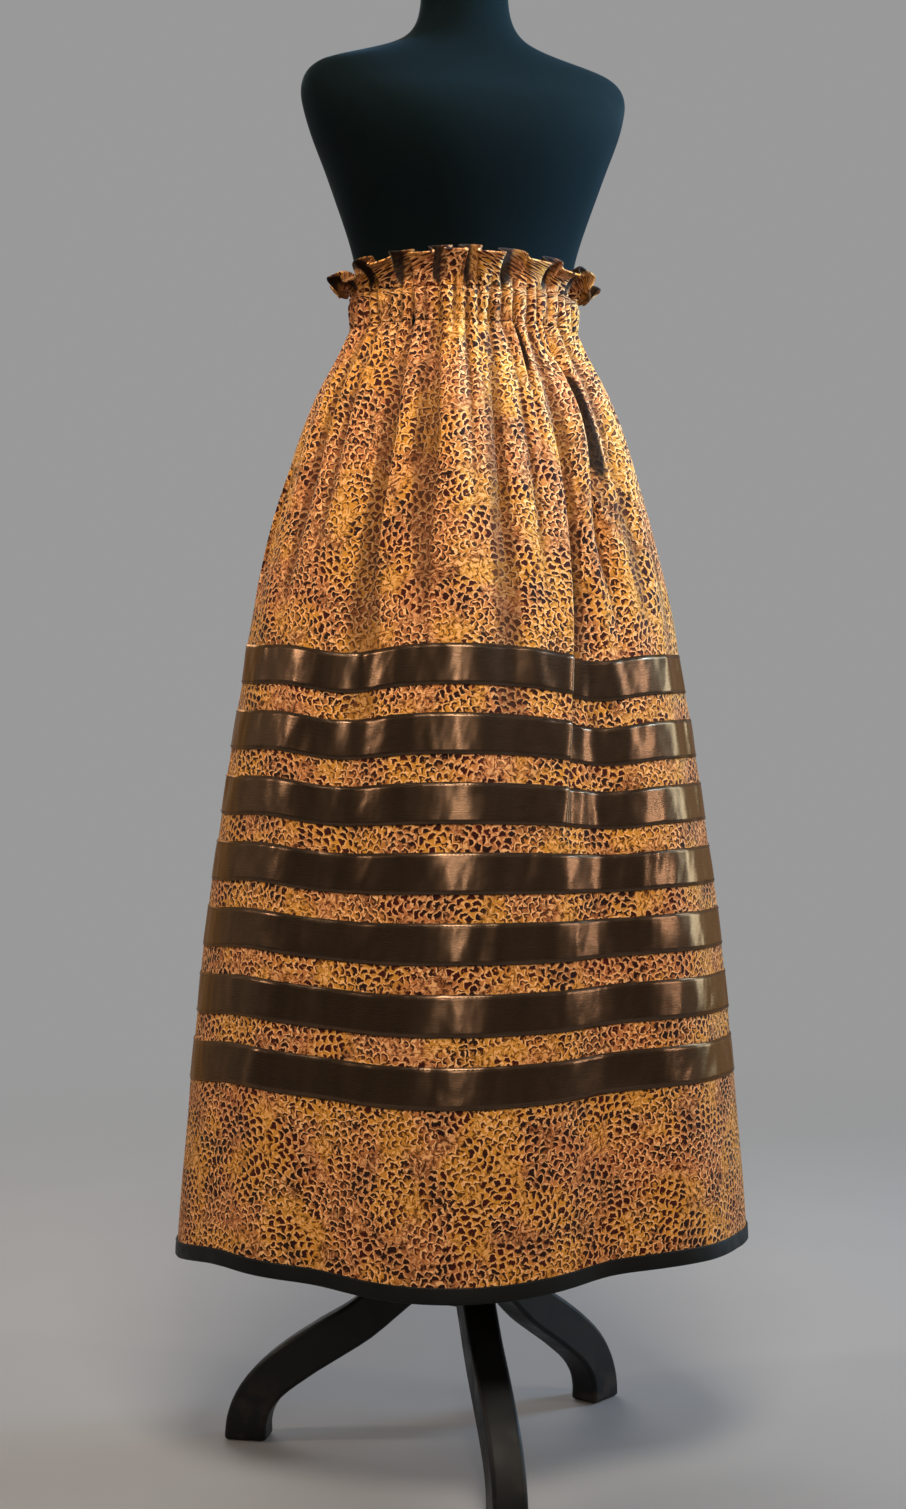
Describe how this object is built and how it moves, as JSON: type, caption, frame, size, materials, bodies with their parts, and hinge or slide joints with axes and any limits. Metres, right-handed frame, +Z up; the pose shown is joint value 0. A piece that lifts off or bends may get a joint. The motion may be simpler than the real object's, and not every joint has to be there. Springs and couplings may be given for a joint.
{
  "type": "ribbon skirt on a dress form with a tripod stand",
  "caption": "Long A-line ribbon skirt with a gathered frill waist and dark satin bands, on a limbless dress form with a tripod stand.",
  "frame": {"origin": "on the floor, at the axis of the stand's pole, within the tolerance of the middle of the whole object's footprint", "axes": "+Z up along the pole; -Y towards the front of the skirt; +X towards the viewer's right when looking at the front"},
  "size_m": [0.5588, 0.4677, 1.455],
  "materials": {
    "print_cotton": "matt printed quilting cotton, ochre ground with small maroon-black and cream feather clusters",
    "satin_ribbon": "dark brown-black satin ribbon with warm highlights",
    "hem_binding": "black bias binding with a soft sheen",
    "black_flock": "green-black flocked torso",
    "black_wood": "black painted wood, slightly worn"
  },
  "bodies": {
    "root": {"skirt_front": "print_cotton", "skirt_back": "print_cotton", "waist_casing": "print_cotton", "waist_frill": "print_cotton", "ribbon_1": "satin_ribbon", "ribbon_2": "satin_ribbon", "ribbon_3": "satin_ribbon", "ribbon_4": "satin_ribbon", "ribbon_5": "satin_ribbon", "ribbon_6": "satin_ribbon", "ribbon_7": "satin_ribbon", "hem_binding": "hem_binding", "dress_form": "black_flock", "pole": "black_wood", "hub": "black_wood", "leg_front": "black_wood", "leg_right_back": "black_wood", "leg_left": "black_wood"}
  },
  "joints": []
}
